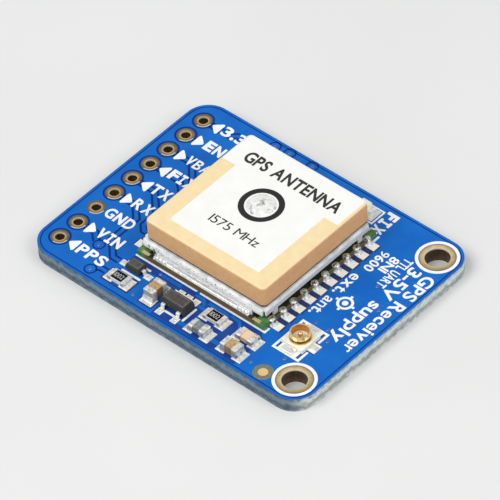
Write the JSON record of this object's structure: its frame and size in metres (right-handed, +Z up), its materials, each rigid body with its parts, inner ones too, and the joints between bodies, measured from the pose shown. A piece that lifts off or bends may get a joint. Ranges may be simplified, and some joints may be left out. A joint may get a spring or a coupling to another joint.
{
  "type": "satellite positioning receiver board",
  "caption": "Small rectangular receiver board with a square ceramic patch antenna on a shielded module, a header hole row, mounting holes and a coax receptacle.",
  "frame": {"origin": "centre of the board's underside", "axes": "+X from the header row to the mounting holes, +Y from the supply parts' edge to the lamp's edge, +Z up out of the board through the antenna"},
  "size_m": [0.0342, 0.0254, 0.0066],
  "materials": {
    "board_mask": "glossy solder mask on glass-epoxy board",
    "hole_copper": "plated copper, lightly tarnished",
    "gold_plate": "gold-plated copper",
    "tinned_land": "tinned copper",
    "module_board": "green solder mask over glass-epoxy",
    "solder": "bright reflowed solder",
    "can_sheet": "tin-plated sheet",
    "chip_mould": "moulded epoxy",
    "package_ceramic": "fired ceramic package with a metal lid",
    "tape": "double-sided adhesive tape",
    "silver_film": "fired silver paste, matt",
    "antenna_ceramic": "unglazed dielectric ceramic",
    "print_black": "printed ink",
    "tinned_pin": "tin-plated lead",
    "coax_insulator": "moulded insulator",
    "gold_shell": "gold-plated brass",
    "resistor_ceramic": "fired alumina",
    "resistor_glaze": "glossy glaze",
    "end_cap": "tin-plated end cap",
    "capacitor_ceramic": "fired brown ceramic",
    "bead_ferrite": "fired grey ferrite",
    "lamp_base": "moulded base",
    "lamp_lens": "clear yellow-green resin"
  },
  "bodies": {
    "root": {"board": "board_mask", "header_eyelets": "hole_copper", "mounting_eyelets": "hole_copper", "fiducial_dot": "gold_plate", "cell_lands": "gold_plate", "chip_lands": "tinned_land", "lead_lands": "tinned_land", "coax_lands": "tinned_land", "module_lands": "tinned_land", "module_substrate": "module_board", "castellation_plating": "gold_plate", "module_solder": "solder", "corner_pads": "gold_plate", "shield_can": "can_sheet", "can_solder": "solder", "receiver_chip": "chip_mould", "reference_oscillator": "package_ceramic", "clock_crystal": "package_ceramic", "wave_filter": "package_ceramic", "low_noise_amplifier": "chip_mould", "antenna_tape": "tape", "antenna_ground": "silver_film", "antenna_ceramic": "antenna_ceramic", "antenna_radiator": "silver_film", "feed_ring": "print_black", "feed_pin": "tinned_pin", "feed_solder": "solder", "coax_base": "coax_insulator", "coax_shell": "gold_shell", "coax_pin": "gold_shell", "coax_solder": "solder", "regulator_body": "chip_mould", "regulator_leads": "tinned_pin", "regulator_solder": "solder", "diode_body": "chip_mould", "diode_leads": "tinned_pin", "diode_solder": "solder", "resistor_bodies": "resistor_ceramic", "resistor_glazes": "resistor_glaze", "resistor_caps": "end_cap", "resistor_solder": "solder", "capacitor_bodies": "capacitor_ceramic", "capacitor_caps": "end_cap", "capacitor_solder": "solder", "bead_body": "bead_ferrite", "bead_caps": "end_cap", "bead_solder": "solder", "lamp_base": "lamp_base", "lamp_lens": "lamp_lens", "lamp_terminals": "end_cap", "lamp_solder": "solder"}
  },
  "joints": []
}
